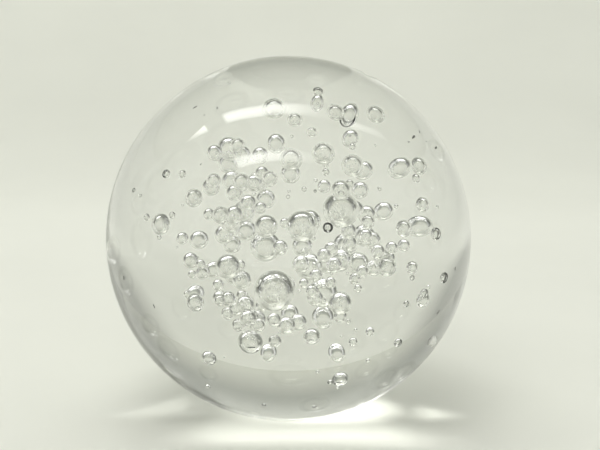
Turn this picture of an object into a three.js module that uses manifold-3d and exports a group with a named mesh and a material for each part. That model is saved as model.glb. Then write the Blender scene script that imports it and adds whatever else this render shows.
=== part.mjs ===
// A solid glass ball paperweight with trapped air bubbles, standing on a small ground flat.
// Millimetres, +Z up, the front towards -Y, the origin at the middle of the ground flat.
//
// The ball is three gathers of glass, one over another. The surface of each inner gather is pricked with
// pits, and the next gather traps the air in them. All three run back to the ground flat, where the ball was
// cracked off its iron. In the glass they are fused: here a thin gap parts each from the next.
import * as THREE from "three";
import { mergeVertices } from "three/addons/utils/BufferGeometryUtils.js";
import Module from "manifold-3d";

const wasm = await Module();
wasm.setup();

// Driving dimensions.
const ballRadius = 40;
const flatRadius = 15; // of the ground flat that the ball stands on
const bevel = 0.4; // ground edge round the flat
const coreRadius = 14; // the first gather, pricked with the inner bubbles
const coreNeck = 4; // where it runs back to the flat
const middleRadius = 25; // the second gather, pricked with the outer bubbles
const middleNeck = 8.5;
const gap = 0.3; // between one gather and the next, and round each bubble
const refractiveIndex = 1.5;
const viewTilt = THREE.MathUtils.degToRad(15); // the bubbles are laid out for a viewer looking down this much
const ballSides = 48; // each a multiple of 4, so that the ball measures its full size both ways
const gatherSides = 20;

const centreHeight = Math.sqrt(ballRadius ** 2 - flatRadius ** 2);

// The bubbles, as [right, up, radius]: how far right and up of the ball's middle each one looks to be, seen
// from the front, and its true radius. Near bubbles sit on their gather's side towards the viewer, far ones
// behind.
const coreNear = [
  [-3, -11, 3.3],
  [11, 6, 2.9],
  [2.8, 2.5, 2.6],
  [-4.7, 2.5, 1.9],
  [-12.8, -6, 2],
  [11, -13.8, 1.8],
  [-0.5, -18.6, 1.4],
];
const coreFar = [
  [18, 5.4, 1.3],
  [-0.5, -11.3, 1.2],
  [0, 18.8, 1.1],
  [3, -6.4, 1.2],
  [10.8, -6.4, 1.1],
  [6.2, -14, 1.1],
  [-8.2, 13, 1.2],
];
const middleNear = [
  [-7.8, -21, 2.2],
  [13, 14.8, 2],
  [7, 17.2, 2],
  [-3, 26.8, 2],
  [0.5, 15.9, 2],
  [9.7, 26, 1.5],
  [18.2, 26, 1.6],
  [-19.3, 8.2, 1.6],
  [-26.3, 3, 1.8],
  [-19, -13, 1.6],
  [23.5, 2, 1.5],
  [28, -12.8, 1.3],
  [20, -5.8, 1.7],
  [4.7, -19.8, 1.5],
  [-16.5, -24.8, 1.3],
  [27.2, 15.2, 1.5],
  [27.7, 7, 1.3],
  [-15.2, 11.7, 1.3],
  [-10.4, 19, 1.3],
  [-3.8, 12, 1.4],
  [-9.5, 11.3, 1.6],
  [1.3, 24.3, 1.3],
  [10.8, -29.4, 1.4],
  [-13.7, 4.7, 1.5],
];
const middleFar = [
  [24.4, 6.9, 1.1],
  [-3.2, 24.6, 1.1],
];

const clearGlass = new THREE.MeshStandardMaterial({
  color: 0xd5d7c9,
  roughness: 0.05,
  metalness: 0,
  transparent: true,
  opacity: 0.35,
});
const coreGlass = clearGlass.clone();
coreGlass.color.set(0xc8cdbd);
const trappedAir = new THREE.MeshStandardMaterial({ color: 0xf4f5ec, roughness: 0.02, metalness: 0 });

function solidOf(geometry) {
  geometry.deleteAttribute("normal");
  geometry.deleteAttribute("uv");
  const merged = mergeVertices(geometry, 1e-4);
  return new wasm.Manifold(
    new wasm.Mesh({
      numProp: 3,
      vertProperties: merged.attributes.position.array,
      triVerts: new Uint32Array(merged.index.array),
    }),
  );
}

function geometryOf(solid) {
  const mesh = solid.getMesh();
  const geometry = new THREE.BufferGeometry();
  geometry.setAttribute("position", new THREE.BufferAttribute(mesh.vertProperties, 3));
  geometry.setIndex(new THREE.BufferAttribute(mesh.triVerts, 1));
  geometry.computeVertexNormals();
  return geometry;
}

// Points up a circle about the ball's centre, from the height `start` to its top, by way of the equator.
function arc(radius, start, sides) {
  const step = (2 * Math.PI) / sides;
  const angles = [Math.asin(start / radius)];
  for (let i = Math.ceil(angles[0] / step + 0.4); i < sides / 4; i++) {
    angles.push(i * step);
  }
  const points = angles.map((angle) => new THREE.Vector2(radius * Math.cos(angle), radius * Math.sin(angle)));
  return [...points, new THREE.Vector2(0, radius)];
}

// A solid turned about the upright axis, flat at the height `foot` out to `footRadius`, with `points` above.
function turned(foot, footRadius, points, sides) {
  const profile = [new THREE.Vector2(0, foot), new THREE.Vector2(footRadius, foot), ...points];
  return solidOf(new THREE.LatheGeometry(profile, sides).rotateX(Math.PI / 2));
}

function outerBall() {
  const foot = -centreHeight;
  return turned(foot, flatRadius - bevel, arc(ballRadius, foot + bevel, ballSides), ballSides);
}

// An inner gather: a ball on a round neck that runs down to the height `foot`.
function gather(radius, neck, foot) {
  const joins = -Math.sqrt(radius ** 2 - neck ** 2);
  return turned(foot, neck, arc(radius, joins, gatherSides), gatherSides);
}

// What is cut out of the next gather to hold this one, open through the flat.
function socket(radius, neck) {
  return gather(radius + gap, neck + gap, -centreHeight - 1);
}

// Where a bubble on a gather lies when it looks to be this far right and up. The line of sight bends where it
// enters the ball, and meets the gather once on the near side and once on the far side.
function bubbleCentre(right, up, gatherRadius, far) {
  const offset = Math.hypot(right, up);
  const bend = Math.asin(offset / ballRadius) - Math.asin(offset / ballRadius / refractiveIndex);
  const meets = Math.asin(offset / refractiveIndex / gatherRadius);
  const fromViewer = bend + (far ? Math.PI - meets : meets);
  const around = gatherRadius * Math.sin(fromViewer);
  const centre = new THREE.Vector3(
    (around * right) / offset,
    (around * up) / offset,
    gatherRadius * Math.cos(fromViewer),
  );
  return centre.applyAxisAngle(new THREE.Vector3(1, 0, 0), Math.PI / 2 - viewTilt);
}

function bubblesOn(gatherRadius, near, far, label) {
  const all = [...near.map((bubble) => [...bubble, false]), ...far.map((bubble) => [...bubble, true])];
  return all.map(([right, up, radius, isFar], i) => ({
    name: `${label}_bubble_${String(i + 1).padStart(2, "0")}`,
    centre: bubbleCentre(right, up, gatherRadius, isFar),
    radius,
  }));
}

// A gather with a pit for half of each bubble.
function pitted(solid, bubbles) {
  let cut = solid;
  for (const bubble of bubbles) {
    const pit = new THREE.IcosahedronGeometry(bubble.radius + gap, 1);
    cut = cut.subtract(solidOf(pit.translate(...bubble.centre)));
  }
  return cut;
}

const ball = new THREE.Group();

function addGather(name, solid, material) {
  const mesh = new THREE.Mesh(geometryOf(solid), material);
  mesh.name = name;
  ball.add(mesh);
}

function addBubble(bubble) {
  const mesh = new THREE.Mesh(new THREE.IcosahedronGeometry(bubble.radius, 1), trappedAir);
  mesh.name = bubble.name;
  mesh.position.copy(bubble.centre);
  ball.add(mesh);
}

const coreBubbles = bubblesOn(coreRadius, coreNear, coreFar, "core");
const middleBubbles = bubblesOn(middleRadius, middleNear, middleFar, "middle");
const coreSolid = gather(coreRadius, coreNeck, -centreHeight);
const middleSolid = gather(middleRadius, middleNeck, -centreHeight).subtract(socket(coreRadius, coreNeck));
const casingSolid = outerBall().subtract(socket(middleRadius, middleNeck));

addGather("core_gather", pitted(coreSolid, coreBubbles), coreGlass);
addGather("middle_gather", pitted(middleSolid, [...coreBubbles, ...middleBubbles]), clearGlass.clone());
addGather("clear_casing", pitted(casingSolid, middleBubbles), clearGlass);
coreBubbles.forEach(addBubble);
middleBubbles.forEach(addBubble);

ball.position.z = centreHeight;
const paperweight = new THREE.Group();
paperweight.add(ball);

export default paperweight;
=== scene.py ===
"""Looks of a solid glass ball paperweight with trapped air bubbles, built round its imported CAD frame.

The ball is one fused body of glass, and each bubble is a closed pocket of air in it. Lengths are in
metres.
"""

import math
import random

import bmesh
import bpy
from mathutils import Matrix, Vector, noise


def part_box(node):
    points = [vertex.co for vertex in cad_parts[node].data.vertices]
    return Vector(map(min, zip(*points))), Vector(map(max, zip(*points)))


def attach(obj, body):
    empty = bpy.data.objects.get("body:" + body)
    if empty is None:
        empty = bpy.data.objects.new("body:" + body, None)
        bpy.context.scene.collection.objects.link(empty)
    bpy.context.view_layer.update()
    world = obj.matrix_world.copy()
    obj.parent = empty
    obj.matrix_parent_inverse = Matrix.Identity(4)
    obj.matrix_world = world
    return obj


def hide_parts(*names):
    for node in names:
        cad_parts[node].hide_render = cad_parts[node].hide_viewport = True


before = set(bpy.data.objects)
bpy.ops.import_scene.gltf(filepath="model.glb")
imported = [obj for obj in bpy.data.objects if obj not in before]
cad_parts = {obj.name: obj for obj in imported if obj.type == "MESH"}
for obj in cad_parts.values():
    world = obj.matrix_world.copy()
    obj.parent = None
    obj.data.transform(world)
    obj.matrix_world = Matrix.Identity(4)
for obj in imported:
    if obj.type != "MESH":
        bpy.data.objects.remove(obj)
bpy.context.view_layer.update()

MM = 0.001
GLASS_IOR = 1.5
VIEW_TILT = math.radians(15)  # how far the photograph's camera looks down
VIEW_DISTANCE = 7  # from the camera to the ball's centre, in ball radii

low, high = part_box("clear_casing")
RADIUS = (high.x - low.x) / 2
CENTRE = Vector(((low.x + high.x) / 2, (low.y + high.y) / 2, high.z - RADIUS))
FOOT = low.z  # the height of the ground flat
FLAT_RADIUS = math.sqrt(RADIUS**2 - (CENTRE.z - FOOT) ** 2)
BUBBLE_NODES = sorted(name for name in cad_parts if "_bubble_" in name)

# The camera's own directions, with the ball's centre as their origin.
RIGHT = Vector((1, 0, 0))
UP = Vector((0, math.sin(VIEW_TILT), math.cos(VIEW_TILT)))
TOWARDS = Vector((0, -math.cos(VIEW_TILT), math.sin(VIEW_TILT)))

rng = random.Random(31)


# ---------------------------------------------------------------- materials


def new_material(name):
    """An empty node material, with its output node."""
    material = bpy.data.materials.new(name)
    material.use_nodes = True
    tree = material.node_tree
    tree.nodes.clear()
    output = tree.nodes.new("ShaderNodeOutputMaterial")
    return material, tree, output


def add_node(tree, kind, **sockets):
    """A node of this kind with its input sockets set by name (underscores for spaces)."""
    node = tree.nodes.new(kind)
    for name, value in sockets.items():
        node.inputs[name.replace("_", " ")].default_value = value
    return node


def object_noise(tree, scale, detail=3.0, rough=0.5):
    """The value of a noise over the piece's own coordinates, scale in features per metre."""
    coords = tree.nodes.new("ShaderNodeTexCoord")
    texture = add_node(tree, "ShaderNodeTexNoise", Scale=scale, Detail=detail, Roughness=rough)
    tree.links.new(coords.outputs["Object"], texture.inputs["Vector"])
    return texture.outputs["Fac"]


def remap(tree, socket, from_low, from_high, to_low, to_high):
    """This socket's value with one range stretched over another, and held at its ends."""
    node = tree.nodes.new("ShaderNodeMapRange")
    node.inputs["From Min"].default_value = from_low
    node.inputs["From Max"].default_value = from_high
    node.inputs["To Min"].default_value = to_low
    node.inputs["To Max"].default_value = to_high
    tree.links.new(socket, node.inputs["Value"])
    return node.outputs["Result"]


def blend(tree, factor, first, second):
    """A colour that goes from first to second as the factor socket goes from 0 to 1."""
    mix = tree.nodes.new("ShaderNodeMix")
    mix.data_type = "RGBA"
    mix.inputs["A"].default_value = (*first, 1)
    mix.inputs["B"].default_value = (*second, 1)
    tree.links.new(factor, mix.inputs["Factor"])
    return mix.outputs["Result"]


def multiply(tree, share):
    """A node that multiplies the colour at its input A by this socket."""
    mix = tree.nodes.new("ShaderNodeMix")
    mix.data_type = "RGBA"
    mix.blend_type = "MULTIPLY"
    mix.inputs["Factor"].default_value = 1.0
    tree.links.new(share, mix.inputs["B"])
    return mix


def world_axis(tree, axis):
    """The X, Y or Z of the point that is shaded."""
    geometry = tree.nodes.new("ShaderNodeNewGeometry")
    split = tree.nodes.new("ShaderNodeSeparateXYZ")
    tree.links.new(geometry.outputs["Position"], split.inputs["Vector"])
    return split.outputs[axis]


def bumped(tree, height_socket, strength, distance):
    """A normal bumped by this height, whose 1 stands for the distance."""
    bump = add_node(tree, "ShaderNodeBump", Strength=strength, Distance=distance)
    tree.links.new(height_socket, bump.inputs["Height"])
    return bump.outputs["Normal"]


def glass_material():
    """Clear glass, faintly grey-green: fire-polished, slightly wavy, and satin on the ground flat."""
    material, tree, output = new_material("casing_glass")
    shader = add_node(tree, "ShaderNodeBsdfPrincipled", Transmission_Weight=1.0, IOR=GLASS_IOR)
    tree.links.new(shader.outputs["BSDF"], output.inputs["Surface"])

    clouds = object_noise(tree, 30)
    tint = blend(tree, clouds, (0.866, 0.874, 0.86), (0.888, 0.895, 0.882))
    tree.links.new(tint, shader.inputs["Base Color"])

    # The ground flat is what faces straight down. The rest is only dulled here and there by handling.
    ground_roughness = 0.32
    handled_roughness = 0.018
    geometry = tree.nodes.new("ShaderNodeNewGeometry")
    split = tree.nodes.new("ShaderNodeSeparateXYZ")
    tree.links.new(geometry.outputs["True Normal"], split.inputs["Vector"])
    ground = remap(tree, split.outputs["Z"], -0.96, -0.995, 0.0, ground_roughness)
    smudges = object_noise(tree, 90, detail=5, rough=0.65)
    handled = remap(tree, smudges, 0.5, 0.85, 0.0, handled_roughness)
    total = tree.nodes.new("ShaderNodeMath")
    tree.links.new(ground, total.inputs[0])
    tree.links.new(handled, total.inputs[1])
    tree.links.new(total.outputs["Value"], shader.inputs["Roughness"])

    waves = object_noise(tree, 45, detail=1.0)
    normal = bumped(tree, waves, strength=0.12, distance=0.3 * MM)
    tree.links.new(normal, shader.inputs["Normal"])
    return material


def air_material():
    """The wall of an air bubble, where light passes from the glass into something thinner."""
    material, tree, output = new_material("trapped_air")
    shader = add_node(tree, "ShaderNodeBsdfGlass", Roughness=0.0, IOR=1 / GLASS_IOR)
    tree.links.new(shader.outputs["BSDF"], output.inputs["Surface"])
    clouds = object_noise(tree, 400)
    tint = blend(tree, clouds, (0.97, 0.975, 0.96), (1, 1, 1))
    tree.links.new(tint, shader.inputs["Color"])
    ripples = object_noise(tree, 700, detail=2.0)
    normal = bumped(tree, ripples, strength=0.05, distance=0.05 * MM)
    tree.links.new(normal, shader.inputs["Normal"])
    return material


# ---------------------------------------------------------------- pieces


def finished_mesh(name, bm):
    """The mesh that this bmesh holds, shaded smooth."""
    mesh = bpy.data.meshes.new(name)
    bm.to_mesh(mesh)
    bm.free()
    for face in mesh.polygons:
        face.use_smooth = True
    return mesh


def new_piece(name, mesh, material):
    """A part of the object that rides on its only body."""
    piece = bpy.data.objects.new(name, mesh)
    bpy.context.scene.collection.objects.link(piece)
    mesh.materials.append(material)
    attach(piece, "root")
    return piece


def glass_body(material):
    """The whole fused ball: fire-polished, never quite round, with a flat ground under it."""
    sides = 256
    rings = 176
    bevel = 0.35 * MM
    unevenness = 0.12 * MM
    start = math.asin((FOOT + bevel - CENTRE.z) / RADIUS)
    outline = [(FLAT_RADIUS - bevel, FOOT)]
    for i in range(rings):
        angle = start + (math.pi / 2 - start) * i / rings
        outline.append((RADIUS * math.cos(angle), CENTRE.z + RADIUS * math.sin(angle)))

    bm = bmesh.new()
    base = bm.verts.new((0, 0, FOOT))
    turns = [2 * math.pi * k / sides for k in range(sides)]
    loops = []
    for ring_radius, height in outline:
        ring = [(ring_radius * math.cos(turn), ring_radius * math.sin(turn), height) for turn in turns]
        loops.append([bm.verts.new(point) for point in ring])
    top = bm.verts.new((0, 0, CENTRE.z + RADIUS))
    for k in range(sides):
        after = (k + 1) % sides
        bm.faces.new((base, loops[0][after], loops[0][k]))
        bm.faces.new((top, loops[-1][k], loops[-1][after]))
        for below, above in zip(loops, loops[1:]):
            bm.faces.new((below[k], below[after], above[after], above[k]))

    for vertex in bm.verts:
        if vertex.co.z > FOOT + 2 * bevel:
            out = (vertex.co - CENTRE).normalized()
            vertex.co += out * (noise.noise(out * 1.3) - 0.5) * unevenness
    mesh = finished_mesh("glass_body", bm)
    mesh.set_sharp_from_angle(angle=math.radians(14))  # leaves the edge of the flat crisp
    piece = new_piece("glass_body", mesh, material)
    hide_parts("core_gather", "middle_gather", "clear_casing")


def detail_for(radius):
    """Icosphere subdivisions that keep a bubble's outline smooth at this size."""
    if radius > 1.6 * MM:
        return 5
    return 4 if radius > 0.6 * MM else 3


def random_shift():
    """A random place in the noise, so that no two pieces are uneven in the same way."""
    return Vector((rng.uniform(0, 50), rng.uniform(0, 50), rng.uniform(0, 50)))


def add_bubble(bm, centre, radius):
    """A closed, slightly egg-shaped bubble, a little flattened towards the ball's centre."""
    unevenness = 0.02
    made = bmesh.ops.create_icosphere(bm, subdivisions=detail_for(radius), radius=radius)
    outwards = (centre - CENTRE).normalized()
    flattening = rng.uniform(0.0, 0.05)
    shift = random_shift()
    for vertex in made["verts"]:
        way = vertex.co.normalized()
        vertex.co *= 1 + unevenness * noise.noise(way * 0.9 + shift)
        vertex.co -= outwards * vertex.co.dot(outwards) * flattening
        vertex.co += centre


def bubble_mesh(name, bubbles):
    """One mesh of closed bubbles, each (centre, radius)."""
    bm = bmesh.new()
    for centre, radius in bubbles:
        add_bubble(bm, centre, radius)
    return finished_mesh(name, bm)


def line_of_sight(right, up):
    """Where a line of sight enters the ball, from the ball's centre, and its way on through the glass.

    It is the line to a point that looks to be this far right and up of the ball's middle, on a scale
    that puts the ball's outline at its radius.
    """
    eye = TOWARDS * VIEW_DISTANCE * RADIUS
    aim = (RIGHT * right + UP * up) / math.sqrt(1 - 1 / VIEW_DISTANCE**2)
    way = (aim - eye).normalized()
    halfway = -way.dot(eye)
    enters = eye + way * (halfway - math.sqrt(halfway**2 - eye.length_squared + RADIUS**2))
    out = enters / RADIUS
    slant = -way.dot(out)
    slant_inside = math.sqrt(1 - (1 - slant**2) / GLASS_IOR**2)
    bent = way / GLASS_IOR + out * (slant / GLASS_IOR - slant_inside)
    return enters, bent


def seen_at(right, up, depth):
    """The point on this line of sight that is depth nearer than the middle of its run in the glass."""
    enters, bent = line_of_sight(right, up)
    return CENTRE + enters - bent * (enters.dot(bent) + depth)


# The bubbles that the CAD leaves out, as (right, up, radius) in mm: where each looks to be, and how
# large it was read to be.
NEAR_SEEDS = [
    (27, -6.4, 1.1), (34, -8.6, 1.0), (-3, -22.4, 1.1), (6.4, 32.2, 0.9), (5.1, 23.3, 0.9),
    (23.9, -22.8, 0.8), (14.1, -22.6, 0.8), (-13.4, -16.3, 1.1), (-25.5, 5.1, 0.6), (-31, 4.7, 0.6),
    (-22.2, -12.1, 0.6), (11.5, 10.6, 1.7), (-3.2, -17.8, 1.2), (-9.5, -14.5, 1.6),
    (-11.6, -15.4, 1.2), (-10.2, -12.6, 1.0), (29.6, -12.1, 0.9), (25.7, -14.3, 0.6),
    (-21.1, 8.9, 0.7), (-26.8, 14.1, 0.8), (-23.3, 14.1, 0.7), (-33.8, 10.6, 0.4),
    (9.1, -31.4, 0.5), (27.9, 13.2, 0.8), (17.4, 3.6, 1.2), (27, -8.6, 0.5), (8.1, 14.6, 0.65),
    (8.1, 16.1, 0.5), (13.4, 12, 0.75), (3.4, 10.8, 0.45), (13, -18.2, 0.45), (32.2, 1.0, 1.1),
    (-13.2, -13.2, 1.3), (-15.1, -13.6, 1.0), (-8.9, -17.4, 1.5), (-11, -18.9, 1.1),
    (-6.6, -18.9, 1.2),
]
MIDDLE_SEEDS = [
    (-7.1, -17.8, 1.2), (-10.3, -9.2, 1.1), (-8.3, -17.2, 1.0), (-15, -13, 0.9), (4.7, 3.8, 1.3),
    (14.6, 6.4, 1.0), (11.7, 4.5, 0.9), (19.6, -3, 0.9), (16.1, -7.3, 0.8), (13.4, -1.2, 0.9),
    (22.6, -2.1, 0.7), (25.2, -1.6, 0.7), (6, -8.2, 0.8), (2.1, -18.3, 1.0), (-21.5, -4.7, 0.9),
    (-21.1, -7.8, 0.5), (-19.3, -5.6, 0.6), (-12.4, -8.2, 0.9), (-23.3, 0.1, 0.7),
    (13.9, 20.2, 0.4), (17.8, -20.4, 0.5), (-6.2, 6.7, 0.7), (-10.6, 6.7, 0.7), (-1.9, -2.1, 0.9),
    (7.8, -3.8, 0.9), (-0.9, 3.4, 0.6), (9.2, -9.7, 0.7), (15.2, -11, 0.5), (-12, 10, 1.0),
    (-5.9, 14.4, 0.8), (9.4, -2.4, 0.9), (-15.4, -10.2, 0.7), (3.3, -9.9, 0.6), (5.2, -11.7, 0.8),
    (-6, -14.8, 0.7), (11.3, -17, 0.8), (-17.6, 5.3, 0.7), (-10.6, -5.9, 0.6), (14.5, -8.9, 0.7),
    (20.6, -4.6, 1.0), (-12.9, 3.2, 1.2), (-12.1, 5.2, 1.1), (-14.5, 4.9, 1.0), (-9, 7.8, 1.0),
    (13.2, 1.5, 1.0), (16.9, 0.4, 0.9),
]
FAR_SEEDS = [
    (-9.5, 1.6, 1.1), (-13, 19.6, 1.1), (24.1, 15.4, 1.0), (-5.1, 8.6, 1.0), (-16.3, 18.7, 0.8),
    (28.3, 2.5, 1.0), (-17.2, 11.2, 0.9), (-6.2, 18.3, 0.85), (6.2, 29.6, 0.6), (13.4, 22, 0.8),
    (13, 26.8, 0.8), (16.3, 14.9, 0.9), (-4.3, -24.8, 0.8), (7.5, -17.3, 1.1), (10.6, -25, 0.8),
    (-11.9, 5.1, 0.9), (-19.8, -0.3, 0.9), (-5.2, -1.9, 1.6), (3, -1.9, 1.1), (15.6, 10.6, 0.9),
    (0.4, 14.3, 1.0), (18.6, -6.6, 0.8), (7.8, 11.5, 0.7), (4.5, -6.4, 1.4), (8.6, -5.5, 1.1),
    (15.2, -5.6, 1.1), (-16.5, -6.9, 0.8), (7.5, -12, 1.5), (-14.3, 0.8, 1.0), (-12.5, -1.5, 0.9),
    (12.5, -1.5, 1.2), (16.5, 0.5, 1.1), (-9.5, 5.8, 1.0), (-12.6, 12.6, 1.0), (-13.4, 16.3, 0.9),
    (18.3, -0.5, 0.9), (21.5, -4.5, 0.8), (-18.8, -7.4, 0.7), (-6.8, 12.6, 1.0), (-10.3, 18.4, 0.9),
    (0.2, -16.5, 0.9), (-20.3, -12, 0.8), (11.3, -4.9, 1.2),
]
SKIN_SEEDS = [(8.6, 2.4, 1.0), (5.8, 10.4, 0.3), (-5.4, -36.4, 0.5), (5.6, -36.8, 0.5)]
DEEP_GROWTH = 1.25  # how much larger than they were read the deeper seeds are made

# Each layer's seeds, how much they are enlarged, their depth towards the viewer, and its spread.
LAYERS = {
    "near_seeds": (NEAR_SEEDS, 1, 0.42 * RADIUS, 3 * MM),
    "middle_seeds": (MIDDLE_SEEDS, DEEP_GROWTH, 0.0, 4 * MM),
    "far_seeds": (FAR_SEEDS, DEEP_GROWTH, -0.42 * RADIUS, 3 * MM),
    "skin_seeds": (SKIN_SEEDS, 1, 0.86 * RADIUS, 0.5 * MM),
}
MICRO_COUNT = 70


def clear_of(centre, radius, taken):
    """Whether a bubble here keeps its distance from all the (centre, radius) already taken."""
    gap = 0.15 * MM
    return all((centre - other).length > radius + size + gap for other, size in taken)


def place_layer(seeds, growth, depth, spread, taken):
    """Seats each seed on its own line of sight, moved along it until it clears the bubbles there; a
    seed with no clear place after the last try is left out.
    """
    tries = 60
    stride = 0.25 * MM
    furthest_out = 0.96 * RADIUS
    placed = []
    for right, up, size in seeds:
        radius = size * growth * MM
        start = depth + rng.uniform(-spread, spread)
        for step in range(tries):
            moved = start + (-1) ** step * step * stride
            centre = seen_at(right * MM, up * MM, moved)
            within = (centre - CENTRE).length + radius < furthest_out
            if within and clear_of(centre, radius, taken):
                placed.append((centre, radius))
                taken.append(placed[-1])
                break
    return placed


def micro_seeds(count, taken):
    """The finest bubbles, scattered through the cloud."""
    cloud_radius = 0.62 * RADIUS
    placed = []
    while len(placed) < count:
        way = Vector((rng.gauss(0, 1), rng.gauss(0, 1), rng.gauss(0, 1))).normalized()
        centre = CENTRE + way * cloud_radius * rng.random() ** 0.45
        radius = rng.uniform(0.12, 0.34) * MM
        if clear_of(centre, radius, taken):
            placed.append((centre, radius))
            taken.append(placed[-1])
    return placed


# Specks and short scratches on the outside, as (right, up, length in mm, slant in degrees).
SURFACE_MARKS = [
    (-20.4, 28.7, 1.1, 40), (-15.6, 28.5, 0.8, 110), (27.3, 22.2, 1.5, 30), (28.6, 23.3, 0.9, 70),
    (26.2, 21.1, 0.7, 10), (32.2, 19.8, 1.3, 25), (32.7, -16.1, 1.0, 60), (-29.4, -14.8, 0.8, 100),
    (-36, -8.6, 0.9, 80), (36.4, -6.6, 0.8, 85), (28.7, 7.9, 0.5, 120), (-19.2, 16.2, 0.5, 50),
    (30.1, 21.2, 0.5, 0),
]


def add_flake(bm, right, up, size, slant, proud):
    """A low ragged lens on the ball's outside, its size (long, wide, high), its middle this proud."""
    long, wide, high = size
    raggedness = 0.5
    enters, _ = line_of_sight(right * MM, up * MM)
    out = enters.normalized()
    level = out.cross(UP).normalized()
    lengthwise = level * math.cos(slant) + out.cross(level) * math.sin(slant)
    widthwise = out.cross(lengthwise)
    made = bmesh.ops.create_icosphere(bm, subdivisions=3, radius=1)
    shift = random_shift()
    for vertex in made["verts"]:
        x, y, z = vertex.co * (1 + raggedness * noise.noise(vertex.co * 1.7 + shift))
        place = lengthwise * x * long / 2 + widthwise * y * wide / 2 + out * z * high / 2
        vertex.co = CENTRE + out * (RADIUS + proud) + place


def flake_piece(name, flakes, color, roughness):
    """A piece of grainy flakes, each given as add_flake takes it."""
    bm = bmesh.new()
    for flake in flakes:
        add_flake(bm, *flake)
    material, tree, output = new_material(name)
    shader = add_node(tree, "ShaderNodeBsdfPrincipled", Roughness=roughness)
    tree.links.new(shader.outputs["BSDF"], output.inputs["Surface"])
    grain = object_noise(tree, 2500, detail=4)
    darker = [0.7 * part for part in color]
    tree.links.new(blend(tree, grain, darker, color), shader.inputs["Base Color"])
    normal = bumped(tree, grain, strength=0.6, distance=0.1 * MM)
    tree.links.new(normal, shader.inputs["Normal"])
    new_piece(name, finished_mesh(name, bm), material)


def build_marks():
    """The wear on the outside: a white bruise low on the rim, and specks and short scratches."""
    bruise_size = (3.3 * MM, 2.3 * MM, 1.5 * MM)
    bruise = (31.3, -22.4, bruise_size, math.radians(-20), 0)
    flake_piece("rim_bruise", [bruise], (1.0, 1.0, 0.96), roughness=0.3)
    speck_height = 0.12 * MM
    speck_proud = 0.03 * MM
    specks = []
    for right, up, length, slant in SURFACE_MARKS:
        size = (length * MM, 0.3 * length * MM, speck_height)
        specks.append((right, up, size, math.radians(slant), speck_proud))
    flake_piece("surface_marks", specks, (0.16, 0.16, 0.145), roughness=0.8)


def build_bubbles(material):
    """The CAD's bubbles where they are, each as its own piece, then the others in layers round them."""
    taken = []
    for name in BUBBLE_NODES:
        corner_low, corner_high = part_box(name)
        centre = (corner_low + corner_high) / 2
        radius = (corner_high.x - corner_low.x) / 2
        taken.append((centre, radius))
        piece = new_piece(f"air_{name}", bubble_mesh(name, [(centre, radius)]), material)
        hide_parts(name)
    for name, (seeds, growth, depth, spread) in LAYERS.items():
        placed = place_layer(seeds, growth, depth, spread, taken)
        new_piece(name, bubble_mesh(name, placed), material)
    placed = micro_seeds(MICRO_COUNT, taken)
    new_piece("micro_seeds", bubble_mesh("micro_seeds", placed), material)


# ---------------------------------------------------------------- stage


def stage_object(name, vertices, faces, material, smooth=False):
    """Something that stands round the object and isn't part of it."""
    mesh = bpy.data.meshes.new(name)
    mesh.from_pydata([tuple(v) for v in vertices], [], faces)
    mesh.materials.append(material)
    for face in mesh.polygons:
        face.use_smooth = smooth
    thing = bpy.data.objects.new(name, mesh)
    bpy.context.scene.collection.objects.link(thing)
    return thing


def paper_material(name, color, painted_shade=None, fade_from=0.0, fade_to=1.0):
    """Matt paper, mottled a little, that may fade with height to a darker tone painted in as shade."""
    material, tree, output = new_material(name)
    shader = add_node(tree, "ShaderNodeBsdfPrincipled", Roughness=0.85, Specular_IOR_Level=0.2)
    tree.links.new(shader.outputs["BSDF"], output.inputs["Surface"])
    tone = multiply(tree, remap(tree, object_noise(tree, 14, detail=4), 0.3, 0.7, 0.965, 1.0))
    if painted_shade is None:
        tone.inputs["A"].default_value = (*color, 1)
    else:
        height = remap(tree, world_axis(tree, "Z"), fade_from, fade_to, 0, 1)
        tree.links.new(blend(tree, height, color, painted_shade), tone.inputs["A"])
    tree.links.new(tone.outputs["Result"], shader.inputs["Base Color"])
    return material


def darken_sides(material, near, far, keep):
    """Fades a paper to this share of its brightness, from near to far out to the left and right."""
    tree = material.node_tree
    shader = next(node for node in tree.nodes if node.type == "BSDF_PRINCIPLED")
    color = shader.inputs["Base Color"].links[0].from_socket
    distance = tree.nodes.new("ShaderNodeMath")
    distance.operation = "ABSOLUTE"
    tree.links.new(world_axis(tree, "X"), distance.inputs[0])
    shade = multiply(tree, remap(tree, distance.outputs["Value"], near, far, 1.0, keep))
    tree.links.new(color, shade.inputs["A"])
    tree.links.new(shade.outputs["Result"], shader.inputs["Base Color"])


PAPER = (0.795, 0.803, 0.742)
# Darker paper painted on the panel's upper part as the shade that falls there.
SHADED_PAPER = (0.455, 0.467, 0.436)
# Grey paper painted at the panel's sides as the shadow along its edges.
EDGE_SHADOW_GREY = (0.2, 0.203, 0.188)
WALL_DISTANCE = 12 * RADIUS
COVE_RADIUS = 9 * RADIUS
WALL_TOP = CENTRE.z + 0.2126 * WALL_DISTANCE  # about 12 degrees above level, from the ball's centre
DARKENING_START = 4.8 * RADIUS  # out to each side


def build_sweep():
    """A floor that curves up into a low wall."""
    floor = FOOT - 0.05 * MM
    reach = 44 * RADIUS
    steps = 24
    turn = math.acos(1 - (WALL_TOP - floor) / COVE_RADIUS)
    start = WALL_DISTANCE - COVE_RADIUS * math.sin(turn)
    outline = [(-reach, floor)]
    for i in range(steps + 1):
        angle = turn * i / steps
        along = start + COVE_RADIUS * math.sin(angle)
        height = floor + COVE_RADIUS * (1 - math.cos(angle))
        outline.append((along, height))
    vertices = [(side * reach, y, z) for y, z in outline for side in (-1, 1)]
    faces = [(2 * i, 2 * i + 1, 2 * i + 3, 2 * i + 2) for i in range(len(outline) - 1)]
    paper = paper_material("paper", PAPER)
    darken_sides(paper, DARKENING_START, 9 * RADIUS, keep=0.5)
    stage_object("paper_sweep", vertices, faces, paper, smooth=True)


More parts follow.
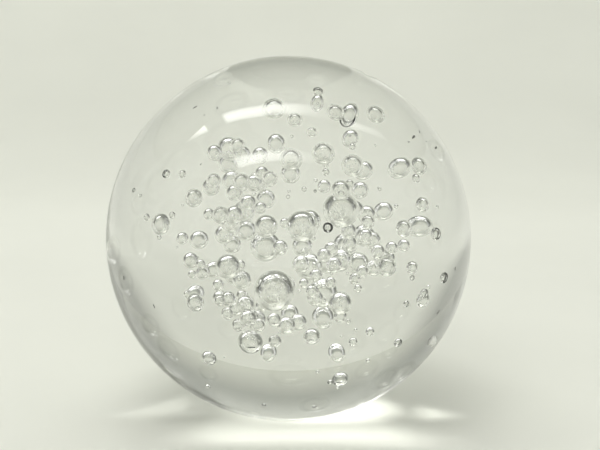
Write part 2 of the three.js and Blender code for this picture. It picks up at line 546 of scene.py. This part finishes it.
def build_panel():
    """A tall panel behind the low wall, leaning forwards, with painted shade on its upper part and grey
    sheets at its sides painted as the shadow along its edges.
    """
    half_width = 16 * RADIUS
    tall = 18 * RADIUS
    lean = 0.28 * tall
    fade_height = 2.4 * RADIUS
    strip_end = 1.4 * half_width
    near = WALL_DISTANCE - 0.02 * RADIUS
    top = WALL_TOP + tall

    def sheet(name, left, right, foot, material):
        upper = [(right, near - lean, top), (left, near - lean, top)]
        lower = [(left, near, foot), (right, near, foot)]
        stage_object(name, lower + upper, [(0, 1, 2, 3)], material)

    # Painted shade: above the wall's top the panel fades to SHADED_PAPER, darker as the light falls
    # off.
    panel = paper_material("panel", PAPER, SHADED_PAPER, WALL_TOP, WALL_TOP + fade_height)
    darken_sides(panel, DARKENING_START, 11 * RADIUS, keep=0.66)
    sheet("tall_panel", -half_width, half_width, WALL_TOP - RADIUS, panel)
    # Painted shadow: grey sheets at the panel's sides stand in for the shade along its edges.
    edge = paper_material("panel_edge", EDGE_SHADOW_GREY)
    sheet("panel_edge_left", -half_width, -strip_end, WALL_TOP, edge)
    sheet("panel_edge_right", half_width, strip_end, WALL_TOP, edge)


def lamp_material(name, strength):
    """A lamp's own light, at full strength where the mesh's glow is 1, and only from its front."""
    material, tree, output = new_material(name)
    shader = add_node(tree, "ShaderNodeEmission", Color=(1.0, 1.0, 0.965, 1))
    glow = tree.nodes.new("ShaderNodeAttribute")
    glow.attribute_name = "glow"
    tree.links.new(remap(tree, glow.outputs["Fac"], 0, 1, 0, strength), shader.inputs["Strength"])
    facing = tree.nodes.new("ShaderNodeNewGeometry")
    clear = tree.nodes.new("ShaderNodeBsdfTransparent")
    sides = tree.nodes.new("ShaderNodeMixShader")
    tree.links.new(facing.outputs["Backfacing"], sides.inputs["Fac"])
    tree.links.new(shader.outputs["Emission"], sides.inputs[1])
    tree.links.new(clear.outputs["BSDF"], sides.inputs[2])
    tree.links.new(sides.outputs["Shader"], output.inputs["Surface"])
    return material


def direction(polar, around):
    """The way at polar degrees from the camera's, and at around degrees clockwise from straight up."""
    lean = math.radians(polar)
    turn = math.radians(around)
    sideways = RIGHT * math.sin(turn) + UP * math.cos(turn)
    return sideways * math.sin(lean) + TOWARDS * math.cos(lean)


def lamp_ribbon(name, line, half_width, strength, fades, distance=36 * RADIUS):
    """A soft curved lamp along a line of (polar, around) degrees.

    It fades in and out over these shares of its length, and its half width is in degrees too.
    """
    fade_in, fade_out = fades
    steps = 36
    rows = 8
    vertices = []
    glow = []
    for i in range(steps + 1):
        along = i / steps
        place = along * (len(line) - 1)
        first = min(int(place), len(line) - 2)
        part = place - first
        polar = line[first][0] * (1 - part) + line[first + 1][0] * part
        around = line[first][1] * (1 - part) + line[first + 1][1] * part
        ends = min(1, along / fade_in, (1 - along) / fade_out)
        for j in range(rows + 1):
            across = 2 * j / rows - 1
            vertices.append(CENTRE + direction(polar + across * half_width, around) * distance)
            glow.append((1 - across**2) ** 0.7 * ends**1.3)
    wide = rows + 1
    faces = []
    for i in range(steps):
        for j in range(rows):
            corner = i * wide + j
            faces.append((corner, corner + 1, corner + wide + 1, corner + wide))
    lamp = stage_object(name, vertices, faces, lamp_material(name, strength), smooth=True)
    attribute = lamp.data.attributes.new("glow", "FLOAT", "POINT")
    attribute.data.foreach_set("value", glow)
    return lamp


def build_lamps():
    """Two long lamps overhead, one nearer the viewer, with their broken ends, and a soft one behind.

    The last helps to throw the bright patch in front of the ball, and is kept out of its reflections.
    """
    main = [(89, -29), (85, -15), (84, 0), (84, 11), (82, 24)]
    left = [(97, -48), (95, -43), (91.5, -36)]
    right = [(82, 24), (86, 33), (92, 43), (98, 51)]
    front = [(56, -36), (51.5, -20), (49.5, -2), (49.5, 14), (50, 26)]
    behind = [(107, -46), (104.5, -22), (104, 0), (104.5, 18), (106, 36)]
    lamp_ribbon("lamp_main", main, half_width=5.5, strength=8, fades=(0.03, 0.6))
    lamp_ribbon("lamp_left", left, half_width=5.5, strength=8, fades=(0.85, 0.06))
    lamp_ribbon("lamp_right", right, half_width=3.5, strength=3.6, fades=(0.15, 0.7))
    lamp_ribbon("lamp_front", front, half_width=4.5, strength=9, fades=(0.04, 0.75))
    back = lamp_ribbon("lamp_back", behind, 6, strength=4.3, fades=(0.2, 0.3), distance=15 * RADIUS)
    back.visible_glossy = False


def build_world():
    """Pale surroundings, dimmer behind the object than on the viewer's side."""
    world = bpy.data.worlds.new("studio")
    bpy.context.scene.world = world
    world.use_nodes = True
    tree = world.node_tree
    background = tree.nodes["Background"]
    coords = tree.nodes.new("ShaderNodeTexCoord")
    split = tree.nodes.new("ShaderNodeSeparateXYZ")
    tree.links.new(coords.outputs["Generated"], split.inputs["Vector"])
    forwards = remap(tree, split.outputs["Y"], 0.25, -0.25, 0, 1)
    pale = blend(tree, forwards, (0.27, 0.276, 0.261), (0.87, 0.88, 0.832))
    tree.links.new(pale, background.inputs["Color"])


def build_camera():
    """The photograph's view: looking down a little at a ball that fills most of the frame's height."""
    ball_share = 0.305  # of the frame's width, taken up by the ball's radius
    distance = VIEW_DISTANCE * RADIUS
    data = bpy.data.cameras.new("camera")
    data.sensor_width = 36
    data.lens = ball_share * data.sensor_width / math.tan(math.asin(RADIUS / distance))
    # The ball stands a little left of the frame's middle and below it.
    data.shift_x = 0.019
    data.shift_y = 0.0225
    data.clip_start = 0.001
    camera = bpy.data.objects.new("camera", data)
    camera.location = CENTRE + TOWARDS * distance
    camera.rotation_mode = "QUATERNION"
    camera.rotation_quaternion = (-TOWARDS).to_track_quat("-Z", "Y")
    bpy.context.scene.collection.objects.link(camera)
    bpy.context.scene.camera = camera


build_camera()
build_world()
build_sweep()
build_panel()
build_lamps()
glass_body(glass_material())
build_bubbles(air_material())
build_marks()

scene = bpy.context.scene
scene.view_settings.view_transform = "Standard"
scene.cycles.max_bounces = 32
scene.cycles.transmission_bounces = 32
# Cycles' own values of these two, taken together, dim the bright patch that the ball throws.
scene.cycles.blur_glossy = 0
scene.cycles.sample_clamp_indirect = 0
